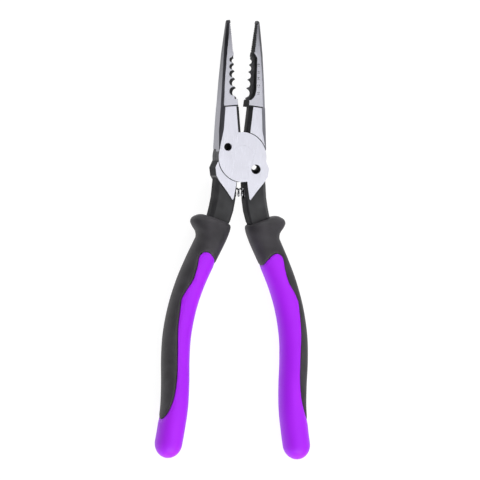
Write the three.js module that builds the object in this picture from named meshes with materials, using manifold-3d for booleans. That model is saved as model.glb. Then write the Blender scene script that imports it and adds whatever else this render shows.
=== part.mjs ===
// Long-nose multi-purpose pliers, lying flat: jaws towards +Y, handles towards -Y, thickness along Z.
// The origin is on the pivot axis, on the flat back face of the joint. All sizes are in millimetres.
// Both steel halves come from one forging: the rear half is the front half turned over about the long axis.
// Every shape is drawn with the jaws shut and the joint's mid-plane at z = 0, then each half is swung open.

import * as THREE from 'three';
import { mergeVertices } from 'three/addons/utils/BufferGeometryUtils.js';
import Module from 'manifold-3d';

const wasm = await Module();
wasm.setup();

// ---- Driving dimensions -------------------------------------------------------------------------

// How far the jaws stand open as they lie, and at the opening limit where the shearing holes line up.
const REST_OPENING_DEG = 11.6;
const FULL_OPENING_DEG = 26;

// The lap joint.
const JOINT_THICKNESS = 10.6;
const JOINT_RADIUS = 12.2;
const LAP_CLEARANCE = 0.3;

// The pivot rivet, peened into two countersinks and ground flush.
const RIVET_RADIUS = 4;
const RIVET_HEAD_RADIUS = 5.5;
const RIVET_HEAD_DEPTH = 1.6;
const RIVET_CLEARANCE = 0.2;

// The jaws, as distances from the pivot.
const JAW_LENGTH = 67.2;
const GRIP_FACE_START = 51;
const STRIPPER_START = 28.4;
const CUTTER_END = 25;
const CLOSED_GAP = 0.3;
const NOSE_STEP = 0.4;
const NOSE_STEP_RUN = 0.6;

// The five wire stripping notches: distance from the pivot, and radius. Their centres lie a little beyond
// the blade's edge. Each is sharpened by a slanted scoop, which runs back from the edge, and a little up
// the jaw, as it rises to the outer face. The whole blade is ground to a slanted flank in the same way.
const STRIPPER_NOTCHES = [
  { y: 31.35, radius: 2.2 },
  { y: 35.9, radius: 1.95 },
  { y: 39.95, radius: 1.75 },
  { y: 43.55, radius: 1.5 },
  { y: 46.9, radius: 1.3 },
];
const NOTCH_SET_OUT = 0.35;
const BLADE_BYPASS = 0.6;
const BLADE_END_MARGIN = 1.4;
const SCOOP_SLOPE = 0.62;
const SCOOP_LEAN = 0.22;
const FLANK_SLOPE = 0.5;

// The side cutter: its two edges meet a little to the right of the closing line, near the front face.
const CUTTER_MEETING_X = 0.6;
const CUTTER_EDGE_Z = 3.7;
const CUTTER_BEVEL = 1.7;
const CUTTER_RELIEF = 1.6;

// The serrations across the gripping faces.
const TOOTH_PITCH = 1.1;
const TOOTH_DEPTH = 0.45;

// The two screw shearing holes: distance from the pivot, direction in the front half, and bore.
const SHEAR_HOLES = [
  { reach: 8.9, angleDeg: 142, bore: 3.8 },
  { reach: 9.1, angleDeg: -45.5, bore: 4.6 },
];

// The necks and the tangs inside the grips.
const NECK_HALF_THICKNESS = 4.5;
const TANG_HALF_WIDTH = 3;
const TANG_HALF_THICKNESS = 2.2;
const TANG_END_MARGIN = 18;

// The return spring, in a blind pocket in each neck.
const SPRING_REACH = 17.6;
const SPRING_WIRE_RADIUS = 0.4;
const SPRING_RADIUS = 2.3;
const SPRING_TURNS = 6;
const SPRING_STEPS_PER_TURN = 12;
const SPRING_WIRE_SIDES = 6;
const POCKET_DEPTH = 3.6;
const POCKET_CLEARANCE = 0.55;
const SPRING_END_GAP = 0.3;

// The two-part grips.
const GRIP_HALF_WIDTH = 6.7;
const GRIP_END_HALF_WIDTH = 6.4;
const GRIP_HALF_THICKNESS = 8.2;
const GRIP_END_ROUND = 7.5;
const GRIP_SQUARENESS = 2.3;
const CORE_WALL = 1.4;
const CORE_START = 3;
const GRIP_CLEARANCE = 0.3;

// ---- Shared values worked out from the driving dimensions ----------------------------------------

const FACE_Z = JOINT_THICKNESS / 2;
const NOSE_Z = FACE_Z - NOSE_STEP;
const LAP_Z = LAP_CLEARANCE / 2;
const JAW_FACE_X = CLOSED_GAP / 2;

// How far cutting shapes run past what they cut, how close points are to become one, and how many flat
// sides stand for a circle.
const CUT_MARGIN = 1;
const WELD_DISTANCE = 1e-4;
const JOINT_SIDES = 64;
const RIVET_SIDES = 40;
const HOLE_SIDES = 24;

const up = new THREE.Vector3(0, 0, 1);

// ---- Solids ------------------------------------------------------------------------------------

// A closed three.js geometry as a solid that can be joined and cut.
function solid(geometry) {
  const bare = geometry.clone();
  bare.deleteAttribute('normal');
  bare.deleteAttribute('uv');
  const merged = mergeVertices(bare, WELD_DISTANCE);
  const index = merged.index.array;
  const triVerts = [];
  for (let i = 0; i < index.length; i += 3) {
    const [a, b, c] = [index[i], index[i + 1], index[i + 2]];
    if (a !== b && b !== c && c !== a) triVerts.push(a, b, c);
  }
  return new wasm.Manifold(new wasm.Mesh({
    numProp: 3,
    vertProperties: new Float32Array(merged.attributes.position.array),
    triVerts: new Uint32Array(triVerts),
  }));
}

// A finished solid as a three.js geometry.
function geometryOf(body) {
  const mesh = body.getMesh();
  const geometry = new THREE.BufferGeometry();
  geometry.setAttribute('position', new THREE.BufferAttribute(mesh.vertProperties, 3));
  geometry.setIndex(new THREE.BufferAttribute(mesh.triVerts, 1));
  geometry.computeVertexNormals();
  return geometry;
}

// An outline of [x, y] points with a thickness from z = bottom to z = top.
function plate(outline, bottom, top) {
  const shape = new THREE.Shape(outline.map(([x, y]) => new THREE.Vector2(x, y)));
  const geometry = new THREE.ExtrudeGeometry(shape, { depth: top - bottom, bevelEnabled: false });
  return solid(geometry.translate(0, 0, bottom));
}

// An outline of [x, z] points drawn out along Y.
function bar(outline, start, end) {
  const shape = new THREE.Shape(outline.map(([x, z]) => new THREE.Vector2(x, z)));
  const geometry = new THREE.ExtrudeGeometry(shape, { depth: end - start, bevelEnabled: false });
  return solid(geometry.rotateX(Math.PI / 2).translate(0, end, 0));
}

// A round pin standing along Z.
function pin(x, y, bottom, top, radius, sides) {
  const geometry = new THREE.CylinderGeometry(radius, radius, top - bottom, sides);
  return solid(geometry.rotateX(Math.PI / 2).translate(x, y, (bottom + top) / 2));
}

// A closed skin through rings of points, one ring after the other, with its two ends filled.
function skin(rings) {
  const sides = rings[0].length;
  const points = rings.flat();
  const triangles = [];
  for (let ring = 0; ring + 1 < rings.length; ring += 1) {
    for (let side = 0; side < sides; side += 1) {
      const a = ring * sides + side;
      const b = ring * sides + ((side + 1) % sides);
      triangles.push(a, b, b + sides, a, b + sides, a + sides);
    }
  }
  const firstCentre = points.length;
  const lastCentre = firstCentre + 1;
  const lastRing = (rings.length - 1) * sides;
  for (const ring of [rings[0], rings.at(-1)]) {
    const centre = new THREE.Vector3();
    ring.forEach((point) => centre.addScaledVector(point, 1 / sides));
    points.push(centre);
  }
  for (let side = 0; side < sides; side += 1) {
    const next = (side + 1) % sides;
    triangles.push(firstCentre, next, side, lastCentre, lastRing + side, lastRing + next);
  }
  const geometry = new THREE.BufferGeometry().setFromPoints(points);
  geometry.setIndex(triangles);
  return solid(geometry);
}

// ---- The steel halves ----------------------------------------------------------------------------

// Along a jaw: distance from the pivot, width, half thickness, and width and depth of the back's chamfer.
const JAW_STATIONS = [
  { y: 0.5, width: 11.9, half: FACE_Z, chamfer: 0.3, drop: 0.18 },
  { y: 6.6, width: 11.4, half: FACE_Z, chamfer: 0.6, drop: 0.36 },
  { y: 14, width: 10.6, half: FACE_Z, chamfer: 2.1, drop: 1.26 },
  { y: CUTTER_END, width: 8.9, half: FACE_Z, chamfer: 2.1, drop: 1.26 },
  { y: CUTTER_END + NOSE_STEP_RUN, width: 8.8, half: NOSE_Z, chamfer: 1.4, drop: 1.2 },
  { y: 38, width: 6.9, half: 4.35, chamfer: 1.1, drop: 1.1 },
  { y: GRIP_FACE_START, width: 4.8, half: 3.6, chamfer: 1.3, drop: 1.25 },
  { y: 60, width: 3.1, half: 2.9, chamfer: 1.4, drop: 1.5 },
  { y: JAW_LENGTH - 1.5, width: 1.9, half: 2.3, chamfer: 1.0, drop: 1.3 },
  { y: JAW_LENGTH - 0.4, width: 1.6, half: 2.0, chamfer: 0.85, drop: 1.1 },
  { y: JAW_LENGTH, width: 1.1, half: 1.4, chamfer: 0.6, drop: 0.75 },
];

function jawRing({ y, width, half, chamfer, drop }, face) {
  const shoulder = half - drop;
  const outline = [
    [face, -half], [chamfer - width, -half], [-width, -shoulder],
    [-width, shoulder], [chamfer - width, half], [face, half],
  ];
  return outline.map(([x, z]) => new THREE.Vector3(x, y, z));
}

// The jaw is first made wide enough for the stripping blade, which passes the closing line.
function jawBlank() {
  return skin(JAW_STATIONS.map((station) => jawRing(station, BLADE_BYPASS)));
}

// What is cut from the inner side of the jaw at the pads below the blade and at the serrated nose.
function closingFaceCut() {
  const reach = BLADE_BYPASS + CUT_MARGIN;
  const depth = FACE_Z + CUT_MARGIN;
  const bladeEnd = GRIP_FACE_START - BLADE_END_MARGIN;
  const teeth = Math.floor((JAW_LENGTH - GRIP_FACE_START - TOOTH_PITCH) / TOOTH_PITCH);
  const outline = [[reach, bladeEnd], [-JAW_FACE_X, bladeEnd]];
  for (let tooth = 0; tooth < teeth; tooth += 1) {
    const start = GRIP_FACE_START + TOOTH_PITCH * (tooth + 0.5);
    outline.push([-JAW_FACE_X, start], [-JAW_FACE_X - TOOTH_DEPTH, start + TOOTH_PITCH / 2]);
  }
  outline.push([-JAW_FACE_X, GRIP_FACE_START + TOOTH_PITCH * (teeth + 0.5)]);
  outline.push([-JAW_FACE_X, JAW_LENGTH + CUT_MARGIN], [reach, JAW_LENGTH + CUT_MARGIN]);
  const padStart = CUTTER_END - LAP_CLEARANCE;
  const pads = [
    [-JAW_FACE_X, padStart], [reach, padStart], [reach, STRIPPER_START], [-JAW_FACE_X, STRIPPER_START],
  ];
  return plate(outline, -depth, depth).add(plate(pads, -depth, depth));
}

// One stripping notch: a round-ended slot that slants back as it rises from the blade's edge.
function notch({ y, radius }) {
  const halfCircle = 10;
  const rings = [-CUT_MARGIN, FACE_Z + CUT_MARGIN].map((z) => {
    const x = BLADE_BYPASS + NOTCH_SET_OUT - (z - LAP_Z) * SCOOP_SLOPE;
    const middle = y + (z - LAP_Z) * SCOOP_LEAN;
    const reach = BLADE_BYPASS + CUT_MARGIN;
    const ring = [new THREE.Vector3(reach, middle - radius, z), new THREE.Vector3(reach, middle + radius, z)];
    for (let step = 0; step <= halfCircle; step += 1) {
      const angle = Math.PI * (0.5 + step / halfCircle);
      ring.push(new THREE.Vector3(x + radius * Math.cos(angle), middle + radius * Math.sin(angle), z));
    }
    return ring;
  });
  return skin(rings);
}

// What is ground from the blade's outer flank, from its edge at the lap up to the outer face.
function flankCut() {
  const reach = BLADE_BYPASS + CUT_MARGIN;
  const top = FACE_Z + CUT_MARGIN;
  const run = (top - LAP_Z) * FLANK_SLOPE;
  const outline = [[BLADE_BYPASS - run, top], [BLADE_BYPASS, LAP_Z], [reach, LAP_Z], [reach, top]];
  return bar(outline, STRIPPER_START, GRIP_FACE_START - BLADE_END_MARGIN);
}

// The space behind the stripping blade where the other half's blade passes.
function bladeRecess() {
  const last = STRIPPER_NOTCHES[STRIPPER_NOTCHES.length - 1];
  const tip = last.y + last.radius;
  const depth = FACE_Z + CUT_MARGIN;
  const reach = BLADE_BYPASS + CUT_MARGIN;
  const clear = BLADE_BYPASS + LAP_CLEARANCE;
  const start = STRIPPER_START - LAP_CLEARANCE;
  const end = GRIP_FACE_START;
  const outline = [
    [reach, end], [-JAW_FACE_X, end], [-clear, end - 0.6], [-1.8, tip + 0.9], [-2.0, tip - 0.6],
    [-3.1, start + 5.5], [-2.8, start + 2.7], [-1.9, start + 0.9], [-clear, start], [reach, start],
  ];
  return plate(outline, -depth, LAP_Z);
}

// The side cutter's bevel and the relief behind its edge. Both edges lie near the front face of the
// tool, so the rear half, which is drawn turned over, has its bevel at the other side.
function cutterCut(isRear) {
  const side = isRear ? -1 : 1;
  const edge = side * CUTTER_MEETING_X - JAW_FACE_X;
  const reach = BLADE_BYPASS + CUT_MARGIN;
  const top = side * (FACE_Z + CUT_MARGIN);
  const run = CUT_MARGIN * CUTTER_BEVEL / (FACE_Z - CUTTER_EDGE_Z);
  const outline = [
    [edge - CUTTER_BEVEL - run, top], [edge, side * CUTTER_EDGE_Z], [edge - CUTTER_RELIEF, -top],
    [reach, -top], [reach, top],
  ];
  return bar(isRear ? outline.reverse() : outline, -CUT_MARGIN, CUTTER_END);
}

// The bright cheek between the joint and the neck. The neck's edge shows beside it at the crotch.
const CHEEK_OUTLINE = [
  [6, 0], [1.3, -8], [1.5, -14.4], [1.9, -20.5], [2.4, -21.4], [6.1, -17.3], [10.2, -13.2], [12.1, -10.6],
  [13.1, -6.8], [11.9, -3.2], [10, 0],
];

// Along the neck, down to the collar of the grip: centre, half width and half thickness.
const NECK_STATIONS = [
  { x: 6.2, y: -8.5, half: 5.3, deep: NECK_HALF_THICKNESS },
  { x: 6.1, y: -14.4, half: 5.4, deep: NECK_HALF_THICKNESS },
  { x: 5.95, y: -21, half: 5.4, deep: NECK_HALF_THICKNESS },
  { x: 6.3, y: -26, half: 5.45, deep: NECK_HALF_THICKNESS },
  { x: 7.1, y: -31, half: 5.3, deep: NECK_HALF_THICKNESS - 0.1 },
];

// The centre line of the grip and of the tang inside it.
const gripLine = new THREE.CatmullRomCurve3([
  [7.7, -31.9], [10.4, -43], [13.9, -53.4], [17.3, -64.5], [19.7, -76.5], [20.7, -90],
  [20.0, -102], [18.6, -113.5], [17.7, -125], [17.9, -135.5], [18.8, -150],
].map(([x, y]) => new THREE.Vector3(x, y, 0)));
const GRIP_LENGTH = gripLine.getLength();

// A place on the grip's centre line: the point, and the direction that points away from the other grip.
function gripPlace(distance) {
  const share = THREE.MathUtils.clamp(distance / GRIP_LENGTH, 0, 1);
  const point = gripLine.getPointAt(share);
  const along = gripLine.getTangentAt(share);
  return { point, outward: new THREE.Vector3().crossVectors(up, along) };
}

// A flat bar's section: a rectangle with its four corners cut, where the outward two may be cut deeper.
function barRing(point, outward, half, deep, corner, outerCorner = corner) {
  const outline = [
    [half, deep - outerCorner], [half - outerCorner, deep], [corner - half, deep], [-half, deep - corner],
    [-half, corner - deep], [corner - half, -deep], [half - outerCorner, -deep], [half, outerCorner - deep],
  ];
  return outline.map(([side, z]) => point.clone().addScaledVector(outward, side).addScaledVector(up, z));
}

const NECK_CORNER = 0.8;
const NECK_OUTER_CORNER = 1.8;
const TANG_CORNER = 0.5;
const TANG_STEPS = 12;
const TANG_ROOT = 12;
const TANG_ROOT_SPREAD = 1.4;

// The tang, grown by a clearance where it is used to hollow out the grip. The first rings turn the
// neck's wide section into the tang's narrow one.
function tangRings(growth) {
  const rings = [];
  const corner = TANG_CORNER + growth / 2;
  const rootHalf = TANG_HALF_WIDTH + TANG_ROOT_SPREAD;
  const rootDeep = (TANG_HALF_THICKNESS + NECK_HALF_THICKNESS) / 2;
  const shoulder = gripPlace(TANG_ROOT / 2);
  rings.push(barRing(shoulder.point, shoulder.outward, rootHalf + growth, rootDeep + growth, corner));
  const end = GRIP_LENGTH - TANG_END_MARGIN + growth;
  for (let step = 0; step <= TANG_STEPS; step += 1) {
    const distance = THREE.MathUtils.lerp(TANG_ROOT, end, step / TANG_STEPS);
    const { point, outward } = gripPlace(distance);
    rings.push(barRing(point, outward, TANG_HALF_WIDTH + growth, TANG_HALF_THICKNESS + growth, corner));
  }
  return rings;
}

function neckRings(growth, first = 0) {
  return NECK_STATIONS.slice(first).map(({ x, y, half, deep }, index, list) => {
    const next = list[Math.min(index + 1, list.length - 1)];
    const last = list[Math.max(index - 1, 0)];
    const along = new THREE.Vector3(next.x - last.x, next.y - last.y, 0).normalize();
    const outward = new THREE.Vector3().crossVectors(up, along);
    const centre = new THREE.Vector3(x, y, 0);
    return barRing(centre, outward, half + growth, deep + growth, NECK_CORNER, NECK_OUTER_CORNER);
  });
}

// Where a shearing hole lies in a half as drawn. The two halves' holes meet at the opening limit.
function shearHolePlace({ reach, angleDeg }, isRear) {
  const turned = isRear ? 180 - angleDeg - FULL_OPENING_DEG : angleDeg;
  const angle = THREE.MathUtils.degToRad(turned);
  return { x: reach * Math.cos(angle), y: reach * Math.sin(angle) };
}

// The rivet's outline, grown by a clearance for the hole that holds it, whose ends overrun the faces.
function rivetProfile(growth, overrun) {
  const front = [[RIVET_RADIUS + growth, FACE_Z - RIVET_HEAD_DEPTH], [RIVET_HEAD_RADIUS + growth, FACE_Z]];
  if (overrun > 0) front.push([RIVET_HEAD_RADIUS + growth, FACE_Z + overrun]);
  front.push([0, FACE_Z + overrun]);
  const back = front.map(([radius, z]) => [radius, -z]).reverse();
  return [...back, ...front].map(([radius, z]) => new THREE.Vector2(radius, z));
}

function rivet(growth = 0, overrun = 0) {
  return solid(new THREE.LatheGeometry(rivetProfile(growth, overrun), RIVET_SIDES).rotateX(Math.PI / 2));
}

// The blind pocket that holds one end of the return spring.
function springPocket() {
  const radius = SPRING_RADIUS + POCKET_CLEARANCE;
  const mouth = NECK_STATIONS[1].x - NECK_STATIONS[1].half;
  const geometry = new THREE.CylinderGeometry(radius, radius, POCKET_DEPTH + mouth, HOLE_SIDES);
  geometry.rotateZ(Math.PI / 2).translate((POCKET_DEPTH + mouth) / 2, -SPRING_REACH, 0);
  return solid(geometry);
}

function steelHalf(isRear) {
  let jaw = jawBlank().subtract(closingFaceCut()).subtract(bladeRecess()).subtract(flankCut());
  jaw = jaw.subtract(cutterCut(isRear));
  for (const size of STRIPPER_NOTCHES) jaw = jaw.subtract(notch(size));
  const handle = skin([...neckRings(0), ...tangRings(0)]);
  const cheek = plate(CHEEK_OUTLINE, -FACE_Z, FACE_Z);
  const lap = pin(0, 0, LAP_Z, FACE_Z, JOINT_RADIUS, JOINT_SIDES);
  const otherLap = pin(0, 0, -FACE_Z - CUT_MARGIN, LAP_Z, JOINT_RADIUS + LAP_CLEARANCE, JOINT_SIDES);
  let half = jaw.add(handle).add(cheek).subtract(otherLap).add(lap);
  half = half.subtract(rivet(RIVET_CLEARANCE, CUT_MARGIN)).subtract(springPocket());
  for (const hole of SHEAR_HOLES) {
    const { x, y } = shearHolePlace(hole, isRear);
    half = half.subtract(pin(x, y, -CUT_MARGIN, FACE_Z + CUT_MARGIN, hole.bore / 2, HOLE_SIDES));
  }
  return half;
}

// ---- The grips -----------------------------------------------------------------------------------

// The thumb collar: distance along the grip, reach inwards, reach outwards, and half thickness.
const COLLAR_STATIONS = [
  { s: 0, inner: 6.9, outer: 8.6, deep: 7.0 },
  { s: 1.2, inner: 7.5, outer: 10.4, deep: 8.0 },
  { s: 3, inner: 7.7, outer: 12.0, deep: 8.6 },
  { s: 4.8, inner: 7.7, outer: 12.1, deep: 8.8 },
  { s: 6.6, inner: 7.6, outer: 10.6, deep: 8.8 },
  { s: 8.6, inner: 7.5, outer: 8.0, deep: 8.7 },
  { s: 11, inner: 7.3, outer: 6.7, deep: 8.5 },
  { s: 14, inner: 7.1, outer: 6.7, deep: 8.4 },
  { s: 22, inner: 6.9, outer: 6.8, deep: GRIP_HALF_THICKNESS },
];
const GRIP_SIDES = 16;
const GRIP_MIDDLE_STEPS = 10;
const GRIP_TAPER_START = 70;
const GRIP_END_SHARES = [0, 0.35, 0.65, 0.88, 1];
const GRIP_TIP_SCALE = 0.05;

function gripRing(distance, inner, outer, deep) {
  const { point, outward } = gripPlace(distance);
  const ring = [];
  for (let side = 0; side < GRIP_SIDES; side += 1) {
    const angle = (2 * Math.PI * side) / GRIP_SIDES;
    const rounded = (value) => Math.sign(value) * Math.abs(value) ** (2 / GRIP_SQUARENESS);
    const across = rounded(Math.cos(angle)) * (Math.cos(angle) > 0 ? outer : inner);
    ring.push(point.clone().addScaledVector(outward, across)
      .addScaledVector(up, rounded(Math.sin(angle)) * deep));
  }
  return ring;
}

// The grip narrows a little towards its end.
function gripHalfWidth(distance) {
  const share = THREE.MathUtils.smoothstep(distance, GRIP_TAPER_START, GRIP_LENGTH - GRIP_END_ROUND);
  return THREE.MathUtils.lerp(GRIP_HALF_WIDTH, GRIP_END_HALF_WIDTH, share);
}

// The outer form of the whole grip, both colours together.
function gripForm() {
  const rings = COLLAR_STATIONS.map(({ s, inner, outer, deep }) => gripRing(s, inner, outer, deep));
  const start = COLLAR_STATIONS.at(-1).s;
  const end = GRIP_LENGTH - GRIP_END_ROUND;
  for (let step = 1; step < GRIP_MIDDLE_STEPS; step += 1) {
    const distance = THREE.MathUtils.lerp(start, end, step / GRIP_MIDDLE_STEPS);
    const width = gripHalfWidth(distance);
    rings.push(gripRing(distance, width, width, GRIP_HALF_THICKNESS));
  }
  for (const share of GRIP_END_SHARES) {
    const scale = Math.max(Math.sqrt(1 - share * share), GRIP_TIP_SCALE);
    const width = GRIP_END_HALF_WIDTH * scale;
    rings.push(gripRing(end + GRIP_END_ROUND * share, width, width, GRIP_HALF_THICKNESS * scale));
  }
  return skin(rings);
}

// The seam on the front and back of the grip: distance along it, and how far outwards it runs.
const SEAM_STATIONS = [
  [24, -8.6], [19.2, -5], [17.4, -1.2], [17.6, 1.2], [20, 2.8], [26.6, 1.6], [33, 1.2], [39, 2.6], [43, 3.2],
  [48.4, 2.6], [57, 1.9], [69, 1.0], [81, 1.2], [91, 2.5], [98, 4.3], [102, 6.0], [105.5, 8.6],
];
const SEAM_STEPS = 30;
const SEAM_REACH = 14;

// The inner side and the whole end of the grip, as an outline that the seam bounds.
function innerSide(shift) {
  const seam = new THREE.SplineCurve(SEAM_STATIONS.map(([s, side]) => {
    const { point, outward } = gripPlace(s);
    return new THREE.Vector2(point.x + outward.x * side, point.y + outward.y * side);
  }));
  const outline = [];
  for (let step = 0; step <= SEAM_STEPS; step += 1) {
    const point = seam.getPointAt(step / SEAM_STEPS);
    const along = seam.getTangentAt(step / SEAM_STEPS);
    outline.push([point.x - along.y * shift, point.y + along.x * shift]);
  }
  const end = gripPlace(GRIP_LENGTH).point;
  const first = outline[0];
  outline.push([outline.at(-1)[0] + SEAM_REACH, outline.at(-1)[1]], [end.x + SEAM_REACH, end.y - SEAM_REACH]);
  outline.push([end.x - SEAM_REACH, end.y - SEAM_REACH], [first[0] - SEAM_REACH / 2, first[1] - SEAM_REACH]);
  const depth = 2 * GRIP_HALF_THICKNESS;
  return plate(outline.reverse(), -depth, depth);
}

// The hard tube round the tang that carries the soft cover.
function coreTube(growth) {
  const rings = [];
  const wall = CORE_WALL + GRIP_CLEARANCE + growth;
  const end = GRIP_LENGTH - GRIP_END_ROUND;
  for (let step = 0; step <= TANG_STEPS; step += 1) {
    const distance = THREE.MathUtils.lerp(TANG_ROOT + CORE_START - growth, end, step / TANG_STEPS);
    const { point, outward } = gripPlace(distance);
    const corner = TANG_CORNER + wall / 2;
    rings.push(barRing(point, outward, TANG_HALF_WIDTH + wall, TANG_HALF_THICKNESS + wall, corner));
  }
  return skin(rings);
}

// The space that the neck's lowest sections and the tang fill inside the grip.
function tangSpace() {
  const firstInside = NECK_STATIONS.length - 2;
  return skin([...neckRings(GRIP_CLEARANCE, firstInside), ...tangRings(GRIP_CLEARANCE)]);
}

function gripCore() {
  return gripForm().intersect(innerSide(0)).add(coreTube(0)).subtract(tangSpace());
}

function gripCover() {
  return gripForm().subtract(innerSide(GRIP_CLEARANCE)).subtract(coreTube(GRIP_CLEARANCE))
    .subtract(tangSpace());
}

// ---- The return spring ---------------------------------------------------------------------------

const restHalfAngle = THREE.MathUtils.degToRad(REST_OPENING_DEG / 2);

// Where the pocket's floor lies once its half has swung open.
function springEnd() {
  const mouth = NECK_STATIONS[1].x - NECK_STATIONS[1].half;
  const floor = new THREE.Vector3(mouth + POCKET_DEPTH, -SPRING_REACH, 0).applyAxisAngle(up, restHalfAngle);
  const lean = SPRING_RADIUS * Math.sin(restHalfAngle);
  const mouthPoint = new THREE.Vector3(mouth, -SPRING_REACH, 0).applyAxisAngle(up, restHalfAngle);
  return { reach: floor.x - lean - SPRING_END_GAP, y: (floor.y + mouthPoint.y) / 2 };
}

class SpringPath extends THREE.Curve {
  getPoint(t, target = new THREE.Vector3()) {
    const { reach, y } = springEnd();
    const angle = 2 * Math.PI * SPRING_TURNS * t;
    const radius = SPRING_RADIUS - SPRING_WIRE_RADIUS;
    const span = reach - SPRING_WIRE_RADIUS;
    const x = THREE.MathUtils.lerp(-span, span, t);
    return target.set(x, y + radius * Math.cos(angle), radius * Math.sin(angle));
  }
}

function returnSpring() {
  const section = new THREE.Shape();
  section.absarc(0, 0, SPRING_WIRE_RADIUS, 0, 2 * Math.PI);
  return new THREE.ExtrudeGeometry(section, {
    extrudePath: new SpringPath(),
    steps: SPRING_TURNS * SPRING_STEPS_PER_TURN,
    curveSegments: SPRING_WIRE_SIDES,
    bevelEnabled: false,
  });
}

// ---- Materials -------------------------------------------------------------------------------------

const steel = new THREE.MeshStandardMaterial({ color: 0xd6d6e2, roughness: 0.35, metalness: 0.9 });
const springSteel = new THREE.MeshStandardMaterial({ color: 0xc8c8cc, roughness: 0.25, metalness: 1 });
const purplePlastic = new THREE.MeshStandardMaterial({ color: 0xb233f9, roughness: 0.45, metalness: 0 });
const greyRubber = new THREE.MeshStandardMaterial({ color: 0x4a484d, roughness: 0.8, metalness: 0 });

// ---- The assembly ----------------------------------------------------------------------------------

function named(name, geometry, material) {
  const mesh = new THREE.Mesh(geometry, material);
  mesh.name = name;
  return mesh;
}

const gripCoreGeometry = geometryOf(gripCore());
const gripCoverGeometry = geometryOf(gripCover());

// The front half carries the right grip, the rear half the left one.
const frontGroup = new THREE.Group();
frontGroup.rotation.z = restHalfAngle;
frontGroup.add(
  named('front_half', geometryOf(steelHalf(false)), steel),
  named('right_grip_core', gripCoreGeometry, purplePlastic),
  named('right_grip_cover', gripCoverGeometry, greyRubber),
);

const turnedOver = new THREE.Group();
turnedOver.rotation.y = Math.PI;
turnedOver.add(
  named('rear_half', geometryOf(steelHalf(true)), steel),
  named('left_grip_core', gripCoreGeometry, purplePlastic),
  named('left_grip_cover', gripCoverGeometry, greyRubber),
);
const rearGroup = new THREE.Group();
rearGroup.rotation.z = -restHalfAngle;
rearGroup.add(turnedOver);

const pliers = new THREE.Group();
pliers.position.z = FACE_Z;
pliers.add(
  frontGroup,
  rearGroup,
  named('pivot_rivet', geometryOf(rivet()), steel),
  named('return_spring', returnSpring(), springSteel),
);

export default pliers;
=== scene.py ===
# %% [markdown]
# # Long-nose multi-purpose pliers
# The pliers lie flat with the jaws towards +Y and the joint's back face at z = 0. The frame brings in
# the working model: two forged steel halves, a rivet, a return spring and two two-colour grips. This
# lesson keeps every size of that model and gives each piece a finer skin and a real finish.

# %% Load the working model
import bisect
import math

import bmesh
import bpy
from mathutils import Matrix, Vector, kdtree


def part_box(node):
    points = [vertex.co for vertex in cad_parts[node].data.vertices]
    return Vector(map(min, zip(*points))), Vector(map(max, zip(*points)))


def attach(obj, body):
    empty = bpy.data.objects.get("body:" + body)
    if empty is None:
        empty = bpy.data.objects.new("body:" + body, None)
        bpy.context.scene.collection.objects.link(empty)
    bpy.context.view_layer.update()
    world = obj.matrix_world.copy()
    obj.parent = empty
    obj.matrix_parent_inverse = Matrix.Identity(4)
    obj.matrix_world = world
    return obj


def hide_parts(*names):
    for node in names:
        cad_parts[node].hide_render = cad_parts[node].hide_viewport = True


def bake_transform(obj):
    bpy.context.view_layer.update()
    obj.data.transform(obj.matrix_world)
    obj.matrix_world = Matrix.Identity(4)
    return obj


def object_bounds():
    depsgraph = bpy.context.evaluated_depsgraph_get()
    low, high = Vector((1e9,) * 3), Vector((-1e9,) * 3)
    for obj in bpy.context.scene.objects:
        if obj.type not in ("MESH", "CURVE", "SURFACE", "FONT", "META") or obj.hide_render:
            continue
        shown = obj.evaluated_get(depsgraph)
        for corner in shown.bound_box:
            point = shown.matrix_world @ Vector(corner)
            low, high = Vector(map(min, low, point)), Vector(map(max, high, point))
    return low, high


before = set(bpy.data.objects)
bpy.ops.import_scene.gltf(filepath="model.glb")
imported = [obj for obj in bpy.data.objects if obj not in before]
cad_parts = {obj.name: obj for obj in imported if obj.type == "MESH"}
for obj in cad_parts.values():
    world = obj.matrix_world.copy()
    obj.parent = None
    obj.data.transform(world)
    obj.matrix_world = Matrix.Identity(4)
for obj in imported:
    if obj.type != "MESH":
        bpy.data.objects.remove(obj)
model_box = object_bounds()
MM = 0.001
print("model size in mm:", [round((high - low) / MM, 1) for low, high in zip(*model_box)])

# %% [markdown]
# ## Camera
# Catalogue pictures of hand tools are taken from far away with a long lens, so that near and far ends
# keep the same scale. The camera stands a little to the left of straight above, which shows the outer
# wall of the left jaw, and it is rolled by about a degree because the tool wasn't laid quite square.

# %% Camera
VIEW_YAW = math.radians(17)
VIEW_ROLL = math.radians(1.35)
VIEW_WIDTH = 234.5 * MM
CAMERA_DISTANCE = 2.5
AIM_BELOW_PIVOT = 40.5 * MM
AIM_BESIDE_PIVOT = 0.3 * MM
SENSOR_WIDTH = 36
FARTHEST_SEEN = 50

face_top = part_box("pivot_rivet")[1].z
joint_middle = Vector((0, 0, face_top / 2))
level_right = Vector((math.cos(VIEW_YAW), 0, math.sin(VIEW_YAW)))
level_up = Vector((0, 1, 0))
camera_right = level_right * math.cos(VIEW_ROLL) + level_up * math.sin(VIEW_ROLL)
camera_up = level_up * math.cos(VIEW_ROLL) - level_right * math.sin(VIEW_ROLL)
camera_back = camera_right.cross(camera_up)

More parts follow.
